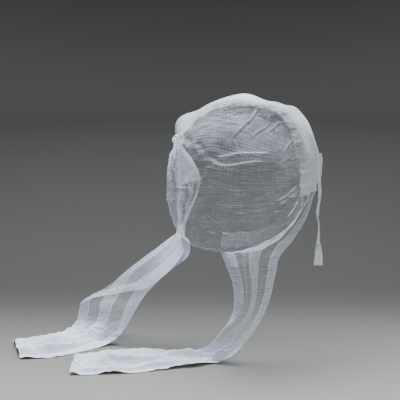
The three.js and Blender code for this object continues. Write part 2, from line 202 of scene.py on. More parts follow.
def paperBowl():  # a round floor that turns up into a wall, so that every side has a backdrop
    away = math.atan2(-view["toward"][1], -view["toward"][0])
    profile = [(stage["flat"] * k / stage["flatSteps"], 0.0) for k in range(stage["flatSteps"])]
    for k in range(stage["bendSteps"] + 1):
        turn = math.pi / 2 * k / stage["bendSteps"]
        profile.append((stage["flat"] + stage["bend"] * math.sin(turn), stage["bend"] * (1 - math.cos(turn))))
    profile.append((stage["flat"] + stage["bend"], stage["height"]))
    profile = np.array(profile)
    run = np.concatenate([[0], np.cumsum(np.linalg.norm(np.diff(profile, axis=0), axis=-1))])[:, None]
    around = np.linspace(0, math.tau, stage["around"] + 1)[None, :]
    far, high = profile[:, :1], np.broadcast_to(profile[:, 1:], (len(profile), stage["around"] + 1))
    points = np.stack([far * np.cos(around + away), far * np.sin(around + away), high + view["floor"]], -1)
    # how far each point lies along the painted pool of light
    way = stage["front"] + np.maximum(run * np.cos(around), run - stage["near"])
    bowl = sheetGrid("studio_bowl", points, np.stack([way, np.broadcast_to(around, way.shape)], -1))
    return bowl


def paintedPoolPaper():
    material = bpy.data.materials.new("studioPaperPaintedPool")
    material.use_nodes = True
    nodes, links = material.node_tree.nodes, material.node_tree.links
    shader = nodes["Principled BSDF"]
    shader.inputs["Roughness"].default_value = stage["rough"]
    shader.inputs["Specular IOR Level"].default_value = stage["specular"]
    flat = nodes.new("ShaderNodeUVMap")
    parts = nodes.new("ShaderNodeSeparateXYZ")
    links.new(flat.outputs[0], parts.inputs[0])
    span = paintedPoolTones[-1][0]
    way = nodes.new("ShaderNodeMapRange")
    way.inputs["From Max"].default_value = span
    links.new(parts.outputs["X"], way.inputs["Value"])
    # painted light: the ramp paints the pool of light, and the darker wall behind it, into the paper's colour
    ramp = nodes.new("ShaderNodeValToRGB")
    ramp.color_ramp.interpolation = "B_SPLINE"
    while len(ramp.color_ramp.elements) < len(paintedPoolTones):
        ramp.color_ramp.elements.new(0.5)
    for element, (at, tone) in zip(ramp.color_ramp.elements, paintedPoolTones):
        element.position = at / span
        element.color = (tone, tone, tone * stage["warmth"], 1)
    links.new(way.outputs[0], ramp.inputs[0])
    links.new(ramp.outputs[0], shader.inputs["Base Color"])
    return material


bowl = paperBowl()
bowl.data.materials.append(paintedPoolPaper())

light = {"target": (0.05, 0.05, -0.12), "air": (0.9, 0.95, 1.0, 1), "airStrength": 0.8}
# place, size and power of each lamp
lamps = {"overhead": ((0.36, -0.12, 1.45), 1.0, 56), "right side": ((-1.6, 0.3, 0.6), 0.9, 12),
         "left fill": ((1.3, 1.3, 0.6), 1.2, 7)}
for name, (place, size, power) in lamps.items():
    bpy.ops.object.light_add(type="AREA", location=place)
    lamp = bpy.context.object
    lamp.name = name
    lamp.data.shape = "DISK"
    lamp.data.size = size
    lamp.data.energy = power
    lookAt(lamp, light["target"])
world = bpy.data.worlds.new("studio")
world.use_nodes = True
air = world.node_tree.nodes["Background"]
air.inputs["Color"].default_value = light["air"]
air.inputs["Strength"].default_value = light["airStrength"]
bpy.context.scene.world = world
print("camera, stage and light done")


# thread is the pitch of the weave and coarse that of its thicker threads, which waver;
# cover is how much of the sheet the threads close, and layered what one more layer adds;
# a slub is a thicker length of a thread, with the scale, offset and strength of its noise
muslin = {"thread": 0.00062, "coarse": 0.0036, "waver": 1.1, "cover": 0.20, "layered": 0.62, "leastCover": 0.04,
          "threadShade": 0.09, "slubShade": 0.11, "coarseShade": 0.17, "threadMiddle": 0.82,
          "warpSlubs": ((420, 34, 1), (3.0, 2.1, 0), 0.6), "weftSlubs": ((30, 520, 1), (8.0, 5.6, 0), 1.4),
          "color": (0.78, 0.84, 0.985), "shaded": 0.93, "rough": 0.85, "specular": 0.25, "sheen": 0.15,
          "bump": 0.2, "bumpHeight": 0.0004, "slubBump": 0.25}
doubled = {**muslin, "cover": 0.42, "threadShade": 0.12, "coarseShade": 0.10, "color": (0.84, 0.88, 0.98), "rough": 0.8}
bandScale = 0.314159  # a wave texture's scale times the pitch of its bands


def clothFinish(name, cloth):
    material = bpy.data.materials.new(name)
    material.use_nodes = True
    nodes, links = material.node_tree.nodes, material.node_tree.links
    shader = nodes["Principled BSDF"]
    shader.inputs["Roughness"].default_value = cloth["rough"]
    shader.inputs["Specular IOR Level"].default_value = cloth["specular"]
    shader.inputs["Sheen Weight"].default_value = cloth["sheen"]
    flat = nodes.new("ShaderNodeUVMap")

    def worked(operation, first, second):
        node = nodes.new("ShaderNodeMath")
        node.operation = operation
        for socket, value in zip(node.inputs, (first, second)):
            if isinstance(value, (int, float)):
                socket.default_value = value
            else:
                links.new(value, socket)
        return node.outputs[0]

    def bars(axis, pitch, waver):  # one set of threads of that pitch
        bands = nodes.new("ShaderNodeTexWave")
        bands.bands_direction = axis
        bands.inputs["Scale"].default_value = bandScale / pitch
        bands.inputs["Distortion"].default_value = waver
        links.new(flat.outputs[0], bands.inputs["Vector"])
        return bands.outputs["Fac"]

    def slubs(scale, offset, strength):
        stretch = nodes.new("ShaderNodeMapping")
        stretch.inputs["Scale"].default_value = scale
        stretch.inputs["Location"].default_value = offset
        links.new(flat.outputs[0], stretch.inputs["Vector"])
        noise = nodes.new("ShaderNodeTexNoise")
        noise.inputs["Scale"].default_value = 1.0
        noise.inputs["Detail"].default_value = 2.0
        links.new(stretch.outputs[0], noise.inputs["Vector"])
        return worked("MULTIPLY", noise.outputs["Fac"], strength)

    # how much of the sheet is closed
    weave = worked("MAXIMUM", bars("X", cloth["thread"], 0.0), bars("Y", cloth["thread"], 0.0))
    slubbed = worked("ADD", slubs(*cloth["warpSlubs"]), slubs(*cloth["weftSlubs"]))
    coarse = worked("ADD", bars("X", cloth["coarse"], cloth["waver"]), bars("Y", cloth["coarse"], cloth["waver"]))
    layers = nodes.new("ShaderNodeAttribute")
    layers.attribute_name = "layers"
    weaveShade = worked("MULTIPLY", worked("SUBTRACT", weave, cloth["threadMiddle"]), cloth["threadShade"])
    slubShade = worked("MULTIPLY", worked("SUBTRACT", slubbed, 1.0), cloth["slubShade"] * 4)
    coarseShade = worked("MULTIPLY", worked("SUBTRACT", coarse, 1.0), cloth["coarseShade"] / 2)
    cover = worked("ADD", worked("MULTIPLY", layers.outputs["Fac"], cloth["layered"]), cloth["cover"])
    cover = worked("ADD", cover, worked("ADD", weaveShade, slubShade))
    cover = worked("ADD", cover, coarseShade)
    limit = nodes.new("ShaderNodeClamp")
    limit.inputs["Min"].default_value = cloth["leastCover"]
    limit.inputs["Max"].default_value = 1.0
    links.new(cover, limit.inputs["Value"])
    links.new(limit.outputs[0], shader.inputs["Alpha"])
    # painted shade: darker between the threads, which stand out a little
    tone = nodes.new("ShaderNodeMix")
    tone.data_type = "RGBA"
    tone.inputs[6].default_value = tuple(cloth["shaded"] * part for part in cloth["color"]) + (1,)
    tone.inputs[7].default_value = cloth["color"] + (1,)
    links.new(weave, tone.inputs[0])
    links.new(tone.outputs[2], shader.inputs["Base Color"])
    bump = nodes.new("ShaderNodeBump")
    bump.inputs["Strength"].default_value = cloth["bump"]
    bump.inputs["Distance"].default_value = cloth["bumpHeight"]
    links.new(worked("ADD", weave, worked("MULTIPLY", slubbed, cloth["slubBump"])), bump.inputs["Height"])
    links.new(bump.outputs[0], shader.inputs["Normal"])
    return material


sheerFinish = clothFinish("sheerMuslin", muslin)
doubledFinish = clothFinish("doubledMuslin", doubled)


def dressed(piece, slot, *nodes):
    piece.data.materials.clear()
    piece.data.materials.append(sheerFinish if slot == "sheer_cloth" else doubledFinish)
    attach(piece, "root")
    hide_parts(*nodes)
    return piece


cap = {"half": 0.102, "back": 0.105, "rise": 0.12, "fall": 0.107, "middleBack": 0.043, "middleDrop": 0.1166,
       "square": 2.5, "gathers": 28, "gatherDepth": 0.0022, "gatherStart": 0.62, "gatherEnd": 0.98,
       "gatherLeast": 0.35, "gatherAngle": 165, "gatherSpread": 45, "span": 0.175, "foldShare": 0.55,
       "brimStart": 0.94, "brimTurn": (-0.25, 0.1)}
knot = {"size": 0.013, "angle": 144, "reach": 0.93, "flat": 0.6, "segments": 96, "rings": 48, "dense": 0.7,
        "lobes": (0.16, 6, 2), "tucks": (0.07, 17, -3), "creased": 0.12}
crownMiddle = np.array([0, cap["middleBack"], -cap["middleDrop"]])

# ring angle, lean of the crown's edge from straight back, taper of the band
edgeRows = [(-90, 47.5, 0.1), (-63, 53, 0.1), (-39, 68, 0.1), (-27, 79, 0.1), (-14, 88, 0.1), (10, 91, 0), (40, 93, 0),
            (65, 102, 0.02), (90, 106, 0.02), (115, 98, -0.18), (133, 87, -0.38), (150, 82, -0.80), (170, 83, -0.18),
            (194, 86, 0.1), (207, 78, 0.1), (219, 68, 0.1), (243, 54, 0.1), (270, 47.5, 0.1)]

# main folds: across and up, then to across and up, width, depth, as shares of the half width and the rise
foldRows = [(0.12, 0.36, -0.75, 0.42, 0.15, 0.05), (0.3, 0.2, -0.65, 0.26, 0.15, -0.06),
            (0.72, 0.5, 0.5, 0.38, 0.2, -0.08), (-0.1, 0.62, -0.45, 0.84, 0.15, 0.04)]

# creases: width and depth in metres, how far the cloth bunches, and places across and up, as shares of the reach
creaseRows = [
    (0.0017, 0.0036, 0.55, [(0.05, 0.285), (0.13, 0.30), (0.21, 0.33), (0.34, 0.36), (0.44, 0.38), (0.55, 0.42)]),
    (0.0030, -0.0040, -0.06, [(-0.06, 0.29), (0.04, 0.285), (0.10, 0.265), (0.19, 0.275), (0.30, 0.305), (0.42, 0.335),
                              (0.58, 0.36)]),
    (0.0016, 0.0030, 0.5, [(0.03, 0.245), (0.13, 0.24), (0.23, 0.265), (0.33, 0.295), (0.48, 0.33)]),
    (0.0015, 0.0020, 0.4, [(-0.05, 0.20), (0.05, 0.215), (0.14, 0.225), (0.27, 0.24)]),
    (0.0075, -0.0040, -0.12, [(-0.26, 0.22), (-0.14, 0.20), (0.02, 0.17)]),
    (0.0017, 0.0030, 0.45, [(0.15, 0.41), (0.19, 0.49), (0.21, 0.53), (0.24, 0.60), (0.24, 0.70), (0.22, 0.82),
                            (0.20, 0.97)]),
    (0.0015, 0.0020, 0.4, [(0.30, 0.46), (0.34, 0.53), (0.38, 0.58), (0.40, 0.66)]),
    (0.0017, 0.0030, 0.45, [(0.42, 0.54), (0.47, 0.64), (0.50, 0.73), (0.56, 0.79), (0.62, 0.83)]),
    (0.0018, 0.0020, 0.35, [(0.20, 0.76), (0.25, 0.88), (0.31, 0.97)]),
    (0.0015, 0.0020, 0.4, [(-0.10, 0.66), (-0.03, 0.72), (0.02, 0.86)]),
    (0.0017, 0.0018, 0.25, [(0.02, 0.56), (0.07, 0.64), (0.11, 0.73)]),
    (0.0040, -0.0034, -0.10, [(-0.29, 0.46), (-0.24, 0.43), (-0.17, 0.39)]),
    (0.0036, -0.0030, -0.08, [(-0.13, 0.40), (-0.08, 0.36), (-0.02, 0.32)]),
    (0.0016, -0.0030, 0, [(-0.70, 0.55), (-0.63, 0.49), (-0.57, 0.42), (-0.50, 0.30), (-0.49, 0.18)]),
    (0.0015, 0.0026, 0.55, [(-0.70, 0.57), (-0.60, 0.50), (-0.52, 0.43), (-0.46, 0.33), (-0.47, 0.22)]),
    (0.0016, 0.0028, 0.6, [(-0.62, 0.56), (-0.42, 0.51), (-0.31, 0.44), (-0.30, 0.36), (-0.32, 0.29), (-0.33, 0.20),
                           (-0.29, 0.10), (-0.26, -0.08)]),
    (0.0015, 0.0022, 0.45, [(-0.29, 0.21), (-0.23, 0.13), (-0.17, 0.06), (-0.11, 0.11), (0.01, 0.16)]),
    (0.0017, 0.0034, 0.45, [(0.60, -0.05), (0.70, -0.01), (0.80, 0.04), (0.99, 0.12)]),
    (0.0028, -0.0034, -0.06, [(0.62, -0.09), (0.74, -0.04), (0.86, 0.00), (0.99, 0.04)]),
    (0.0015, 0.0022, 0.5, [(0.72, 0.00), (0.84, -0.035), (0.99, -0.05)]),
    (0.0016, 0.0026, 0.5, [(0.76, -0.28), (0.84, -0.20), (0.90, -0.15), (0.99, -0.10)]),
    (0.0015, 0.0022, 0.45, [(-0.31, -0.86), (-0.24, -0.72), (-0.15, -0.54)]),
    (0.0022, 0.0014, 0.12, [(-0.33, -0.24), (-0.14, -0.35), (0.16, -0.30)]),
    (0.0022, 0.0014, 0.12, [(0.08, -0.06), (0.27, -0.07), (0.53, -0.05)]),
    (0.0022, 0.0014, 0.12, [(0.33, -0.26), (0.52, -0.19), (0.72, -0.17)]),
    (0.0017, 0.0022, 0.35, [(-0.50, 0.20), (-0.42, 0.02), (-0.43, -0.16)]),
    (0.0017, 0.0022, 0.30, [(-0.42, 0.24), (-0.34, 0.08), (-0.33, -0.05), (-0.35, -0.26)]),
    (0.0020, 0.0022, 0.30, [(-0.38, 0.54), (-0.33, 0.62), (-0.30, 0.76), (-0.31, 0.90)])]


# every third wrinkle is a hollow; they lie more level in the crown's lower half
wrinkles = {"seed": 61, "count": 54, "far": 0.92, "level": 20, "steep": 70, "levelBelow": 0.1, "half": (0.05, 0.14),
            "bow": (-0.02, 0.02), "width": (0.0014, 0.0026), "tall": (0.0007, 0.0018), "dense": (0.06, 0.2),
            "hollowDense": -0.04}


def wrinkleRows():  # small creases all over the crown
    rng = np.random.default_rng(wrinkles["seed"])
    rows = []
    for k in range(wrinkles["count"]):
        turn, far = rng.uniform(0, math.tau), wrinkles["far"] * math.sqrt(rng.uniform(0.02, 1))
        x, y = far * math.cos(turn), far * math.sin(turn)
        most = wrinkles["level"] if y < wrinkles["levelBelow"] else wrinkles["steep"]
        way = math.radians(rng.uniform(-most, most))
        half, bow = rng.uniform(*wrinkles["half"]), rng.uniform(*wrinkles["bow"])
        stepX, stepY = half * math.cos(way), half * math.sin(way)
        middle = (x - stepY * bow / half, y + stepX * bow / half)
        places = [(x - stepX, y - stepY), middle, (x + stepX, y + stepY)]
        width, tall = rng.uniform(*wrinkles["width"]), rng.uniform(*wrinkles["tall"])
        if k % 3:
            rows.append((width, tall, rng.uniform(*wrinkles["dense"]), places))
        else:
            rows.append((width, -tall, wrinkles["hollowDense"], places))
    return rows


crownCreases = [(width / cap["span"], depth, dense, places)
                for width, depth, dense, places in creaseRows + wrinkleRows()]


def ringAngle(angle):
    return np.mod(np.asarray(angle, float) + 90, 360) - 90


def crownWay(angle, lean):
    turn, lean = np.radians(angle), np.radians(lean)
    return np.stack(np.broadcast_arrays(-np.cos(turn) * np.sin(lean), np.cos(lean), np.sin(turn) * np.sin(lean)), -1)


def mainRelief(point, angle, reach, gathered=1.0):
    nearEdge = smooth(reach, cap["gatherStart"], cap["gatherEnd"])
    away = (ringAngle(angle) - cap["gatherAngle"]) / cap["gatherSpread"]
    drawn = cap["gatherLeast"] + (1 - cap["gatherLeast"]) * np.exp(-away ** 2)
    height = gathered * cap["gatherDepth"] * drawn * nearEdge * np.cos(cap["gathers"] * np.radians(angle))
    x, z = point[..., 0], point[..., 2] - crownMiddle[2]
    for across, up, toAcross, toUp, width, depth in foldRows:
        start = np.array([across * cap["half"], up * cap["rise"]])
        along = np.array([toAcross * cap["half"], toUp * cap["rise"]]) - start
        share = np.clip(((x - start[0]) * along[0] + (z - start[1]) * along[1]) / along.dot(along), 0, 1)
        off = np.hypot(x - start[0] - share * along[0], z - start[1] - share * along[1]) / (width * cap["half"])
        height = height + cap["foldShare"] * depth * cap["half"] * np.exp(-off ** 2) * (1 - nearEdge)
    return height


# gathers that fan out from the knot, down the left of the crown: degrees and distances over which they come and go
fan = {"comes": (-112, -92), "goes": (-52, -36), "near": (0.03, 0.12), "far": (0.75, 1.15), "waves": 34,
       "height": 0.0014, "dense": 0.16}
# finer gathers that run in from the edge by uneven lengths
hemGathers = {"start": 0.78, "uneven": ((0.08, 9, 1), (0.05, 23, 0)), "run": 0.2, "waves": 67, "height": 0.0009,
              "inside": (0.02, 0.25)}
# rumples all over, as height and as bunching: seed, stretch across and up, size, and how much
crownRumples = [(5, 1, 1, 0.5, 0.0012), (6, 1, 1.4, 0.17, 0.0005)]
crownMottle = [(8, 1, 1, 0.34, 0.07), (9, 0.6, 1.5, 0.10, 0.06)]
# how much denser the cloth looks, and the heights over which it becomes so
crownShades = [(0.20, 0.12, 0.55), (-0.34, 0.52, 0.82)]


def fineRelief(angle, reach):  # height, and how far the cloth bunches
    turn = np.radians(angle)
    x, y = reach * np.cos(turn), reach * np.sin(turn)
    height, bunched = creased(crownCreases, x, y)
    bunched = bunched * (0.8 + 0.35 * ripple(7, x, y, 0.12))
    knotX, knotY = (knot["reach"] * trig(math.radians(knot["angle"])) for trig in (math.cos, math.sin))
    way = np.degrees(np.arctan2(y - knotY, x - knotX))
    far = np.hypot(x - knotX, y - knotY)
    fanned = smooth(way, *fan["comes"]) * (1 - smooth(way, *fan["goes"]))
    fanned = fanned * smooth(far, *fan["near"]) * (1 - smooth(far, *fan["far"]))
    wave = np.sin(np.radians(way) * fan["waves"] + 1.3 * np.sin(far * 9) + 0.8 * np.sin(np.radians(way) * 9))
    height = height + fanned * fan["height"] * wave
    bunched = bunched + fanned * fan["dense"] * np.maximum(wave, 0) ** 3
    ring = np.radians(ringAngle(angle))
    uneven = sum(share * np.sin(ring * waves + shift) for share, waves, shift in hemGathers["uneven"])
    start = hemGathers["start"] + uneven
    run = smooth(reach, start, start + hemGathers["run"])
    fine = np.abs(np.sin(ring * hemGathers["waves"] + 1.7 * np.sin(ring * 7))) ** 0.7
    height = height - run * hemGathers["height"] * fine * (0.4 + 0.6 * np.sin(ring * 5 + 2) ** 2)
    inside = smooth(reach, *hemGathers["inside"])
    bunched = bunched + inside * rumpled(crownMottle, x, y)
    for dense, low, high in crownShades:
        bunched = bunched + dense * smooth(y, low, high)
    return height + inside * rumpled(crownRumples, x, y), bunched


def crownPoint(angle, reach, fine=False, gathered=1.0):
    angle, reach = np.broadcast_arrays(np.asarray(angle, float), np.asarray(reach, float))
    way = crownWay(angle, reach * lookUp(edgeRows, ringAngle(angle)))
    sizes = (cap["half"], cap["back"], np.where(way[..., 2] > 0, cap["rise"], cap["fall"]))
    parts = sum((np.abs(way[..., axis]) / size) ** cap["square"] for axis, size in enumerate(sizes))
    point = crownMiddle + way * (parts ** (-1 / cap["square"]))[..., None]
    height = mainRelief(point, angle, reach, gathered)
    if fine:
        height = height + fineRelief(angle, reach)[0]
    return point + way * height[..., None]


def brimPoint(angle, forward, gathered=1.0):
    angle, forward = np.broadcast_arrays(np.asarray(angle, float), np.asarray(forward, float))
    edge = crownPoint(angle, np.ones_like(angle), gathered=gathered)
    inward = crownMiddle - edge
    inward[..., 1] = 0
    inward = unit(inward)
    up = smooth(np.sin(np.radians(angle)), *cap["brimTurn"])[..., None]
    before = unit(edge - crownPoint(angle, np.full_like(angle, cap["brimStart"]), gathered=gathered))
    taper = lookUp(edgeRows, ringAngle(angle), 2)[..., None]
    ahead = unit(np.array([0, -1, 0]) + inward * taper)
    return edge + unit(before + (ahead - before) * up) * forward[..., None]


def brimNormal(angle, forward):
    ahead = brimPoint(angle, forward + 0.001) - brimPoint(angle, forward - 0.001)
    around = brimPoint(angle + 1, forward) - brimPoint(angle - 1, forward)
    return -unit(np.cross(around, ahead))


crown = {"around": 540, "rings": 156, "inset": 0.0005, "thin": -0.08, "edge": (0.965, 0.985), "edgeDense": 0.12}
# the right streamer's top, sewn inside the crown: its corners across and up, and how dense it is
tuck = {"corners": [(0.12, -0.985), (0.236, -0.53), (0.72, -0.27), (0.80, -0.58)], "steps": 40, "inset": 0.0016,
        "dense": 0.12, "hem": (0.9, 1), "hemDense": 0.06, "thins": (0.45, 0.95), "thin": 0.42}


def crownSheet(name, angle, reach, inset, layers):  # cloth in the crown's form, that far inside it
    points = crownPoint(angle, reach, fine=True)
    points = points - unit(points - crownMiddle) * inset
    turn = np.radians(angle)
    flat = np.stack([-np.cos(turn), np.sin(turn)], -1) * (reach * cap["span"])[..., None]
    return sheetGrid(name, points, flat, layers)


def crownCloth():
    angles = np.linspace(-90, 270, crown["around"] + 1)
    reaches = np.linspace(0, 1, crown["rings"] + 1)
    angle, reach = np.meshgrid(angles, reaches)
    reach = np.maximum(reach, 1e-6)
    bunched = fineRelief(angle, reach)[1] + crown["thin"] + crown["edgeDense"] * smooth(reach, *crown["edge"])
    return welded(crownSheet("crown_bag", angle, reach, crown["inset"], bunched))


def tuckCloth():
    steps = np.linspace(0, 1, tuck["steps"])
    across, up = np.meshgrid(steps, steps)
    low, top, topEnd, lowEnd = (np.array(corner) for corner in tuck["corners"])
    bottom = low + (lowEnd - low) * across[..., None]
    upper = top + (topEnd - top) * across[..., None]
    place = bottom * (1 - up[..., None]) + upper * up[..., None]
    angle, reach = np.degrees(np.arctan2(place[..., 1], place[..., 0])), np.hypot(place[..., 0], place[..., 1])
    dense = tuck["dense"] + tuck["hemDense"] * smooth(up, *tuck["hem"]) - tuck["thin"] * smooth(across, *tuck["thins"])
    return crownSheet("crown_tuck", angle, reach, tuck["inset"], dense)


crownPiece = dressed(joined([crownCloth(), tuckCloth()], "crown_cloth"), "sheer_cloth", "crown")
print("crown done")


# folded, sheer, seam and drawn: how much denser the cloth is at the folded edge, next to the crown, in the seam
# and where it is drawn together at the top
band = {"ends": (-6, 186), "width": 0.067, "wall": 0.002, "seam": 0.0004, "around": 260, "across": 30,
        "pinch": 0.004, "pinchAngle": 106, "pinchSpread": 9, "girth": 0.0017, "puff": 0.0012, "waved": 0.0010,
        "rumpled": 0.0013, "seamWave": 0.0005, "edgeWave": 0.0012, "mottle": 0.10,
        "folded": 0.45, "foldWidth": 0.003, "sheer": 0.40, "sheerFrom": (4, 32), "sheerTo": (118, 142),
        "sheerShare": (0.30, 0.52), "seamDense": 0.12, "seamWidth": 0.004, "drawn": 0.5, "drawnAngle": 102,
        "drawnSpread": 14, "drawnShare": (0.35, 0.6)}


def bandCloth():  # one strip folded double at the front edge: out along the outside, back along the inside
    angles = np.linspace(band["ends"][0], band["ends"][1], band["around"] + 1)
    out = np.linspace(band["seam"], band["width"], band["across"])
    ways = np.concatenate([out, np.linspace(band["width"], band["seam"], band["across"])])
    depth = np.concatenate([np.zeros(band["across"]), np.full(band["across"], band["wall"])])
    forward, angle = np.meshgrid(ways, angles)
    depths = np.broadcast_to(depth, forward.shape)
    share, ring, girth = forward / band["width"], np.radians(angle), angle * band["girth"]
    ahead = smooth(share, 0.1, 0.5)
    point = brimPoint(angle, forward)
    point = point + (brimPoint(angle, forward, 0.0) - point) * ahead[..., None]
    normal = unit(brimNormal(angle, forward))
    lift = band["pinch"] * np.exp(-((angle - band["pinchAngle"]) / band["pinchSpread"]) ** 2) * ahead
    lift = lift + ahead * band["waved"] * np.sin(ring * 13 + 2 * np.sin(ring * 5))
    lift = lift + ahead * band["rumpled"] * ripple(11, angle * 0.0005, forward, 0.02)
    lift = lift + (1 - ahead) * band["seamWave"] * np.sin(ring * 61)
    puff = np.sin(np.pi * np.clip(share, 0, 1)) * band["puff"] * (1 + ripple(12, girth, forward, 0.05))
    side = np.where(depths > 0, -1.0, 1.0)
    point = point + normal * (lift - depths + side * puff)[..., None]
    point[..., 1] -= band["edgeWave"] * share ** 3 * ripple(13, girth, 0, 0.09)
    length = np.concatenate([[0], np.cumsum(np.abs(np.diff(ways)))])
    flat = np.stack([np.broadcast_to(length, forward.shape), ring * 0.1], -1)
    over = smooth(angle, *band["sheerFrom"]) * (1 - smooth(angle, *band["sheerTo"]))
    drawn = np.exp(-((angle - band["drawnAngle"]) / band["drawnSpread"]) ** 2)
    dense = band["folded"] * smooth(forward, band["width"] - band["foldWidth"], band["width"])
    dense = dense + band["mottle"] * ripple(14, girth, forward * 0.6, 0.03)
    dense = dense - band["sheer"] * over * (1 - smooth(share, *band["sheerShare"]))
    dense = dense + band["seamDense"] * (1 - smooth(forward, 0.0, band["seamWidth"]))
    dense = dense + band["drawn"] * drawn * smooth(share, *band["drawnShare"])
    return sheetGrid("front_band_cloth", point, flat, dense)


bandPiece = dressed(bandCloth(), "doubled_cloth", "front_band")


def brimMiddle(angle, forward):  # halfway through the wall of the band
    return brimPoint(angle, forward) - brimNormal(angle, forward) * band["wall"] / 2


binding = {"width": 0.006, "wall": 0.0016, "gap": 0.35, "off": 0.0003, "around": 220, "turns": 13, "bead": 0.0002,
           "beads": 170, "thin": -0.48}


def bindingCloth():
    ends = band["ends"][1] + binding["gap"], 360 + band["ends"][0] - binding["gap"]
    turns = np.linspace(0, math.tau, binding["turns"])
    angle, turn = np.meshgrid(np.linspace(*ends, binding["around"]), turns, indexing="ij")
    forward = binding["width"] * (0.5 - 0.46 * np.cos(turn)) + binding["off"]
    out = -binding["wall"] / 2 * (1 + np.sin(turn)) + binding["bead"] * np.sin(np.radians(angle) * binding["beads"])
    point = brimPoint(angle, forward) + brimNormal(angle, forward) * out[..., None]
    flat = np.stack([turn * 0.0022, np.radians(angle) * 0.09], -1)
    return welded(sheetGrid("crown_binding_cloth", point, flat, binding["thin"]))


bindingPiece = dressed(bindingCloth(), "doubled_cloth", "crown_binding")
print("band and binding done")


# lie is the most that a pleat stands up on the floor; sewn is how far under the edge the inner hem is sewn
ribbon = {"width": 0.102, "hem": 0.019, "stripe": 0.022, "endHem": 0.012, "pleats": 2, "sewn": 0.0073,
          "foldGap": 0.005, "foldBend": 0.04, "lie": 0.009, "offFloor": 0.0009, "turnRise": 0.017, "turnFar": 0.09,
          "turnWave": 0.0022, "lies": 0.07, "lyingFrom": (0.003, 0.034), "lyingDense": 1.25, "free": (0.2, 2.0),
          "layer": 0.0006, "layerEdge": 0.15, "hemDense": 0.38, "edgeDense": 1.0,
          "along": 400, "across": 72, "hemAcross": 14, "stripeAcross": 16, "row": 0.045}
# rumples, then those where it lies, then how its edges wander there: seed, stretch along and across, size, height
ribbonRumples = [(0, 0.5, 1, 0.05, 0.0007), (2, 0.25, 1, 0.012, 0.0004)]
lyingRumples = [(0, 0.5, 1, 0.05, 0.0007), (5, 0.8, 1, 0.012, 0.0012)]
lyingWaves = [(1, 0.3, 1, 0.026, 0.0034)]
edgeWander = [(3, 1, 0, 0.07, 0.003), (4, 1, 0, 0.022, 0.0012)]

# ring angle, then the outer hem: across, back and drop in shares
rightRoot = [(-26, -0.93, -0.7, 0.1), (-46, -0.89, -0.62, 0.33), (-66, -0.82, -0.5, 0.6), (-86, -0.7, -0.37, 0.82)]
leftRoot = [(199, 0.97, -0.49, 0.28), (212, 0.98, -0.33, 0.46), (225, 0.98, -0.18, 0.62), (238, 1.02, -0.05, 0.8)]
# inner hem across, back, up, then outer hem across, back, up, in shares of the reach and the nape's height
rightFall = [(-0.077, -0.053, 0.84, -0.293, -0.485, 0.85), (-0.097, -0.103, 0.7, -0.273, -0.455, 0.7),
             (-0.08, -0.155, 0.47, -0.253, -0.385, 0.47), (0.027, -0.205, 0.25, -0.193, -0.225, 0.22),
             (0.127, -0.205, 0.08, -0.103, -0.105, 0.08), (0.277, -0.175, 0, 0.027, -0.045, 0),
             (0.447, -0.075, 0, 0.167, 0.115, 0), (0.627, -0.015, 0, 0.327, 0.275, 0),
             (0.807, 0.115, 0, 0.507, 0.445, 0), (0.977, 0.235, 0, 0.687, 0.575, 0),
             (1.027, 0.335, 0, 0.847, 0.675, 0)]
leftFall = [(0.179, -0.08, 0.88, 0.339, -0.234, 0.945), (0.256, -0.071, 0.75, 0.375, -0.211, 0.89),
            (0.316, -0.061, 0.65, 0.465, -0.201, 0.76), (0.376, -0.061, 0.54, 0.576, -0.201, 0.6),
            (0.426, -0.051, 0.42, 0.704, -0.198, 0.4), (0.466, -0.051, 0.3, 0.83, -0.152, 0.24),
            (0.516, -0.041, 0.14, 0.854, -0.134, 0.09), (0.576, -0.011, 0.02, 0.886, -0.091, 0),
            (0.636, 0.109, 0, 0.916, -0.021, 0), (0.706, 0.249, 0, 0.946, 0.079, 0),
            (0.836, 0.349, 0, 1.006, 0.179, 0)]
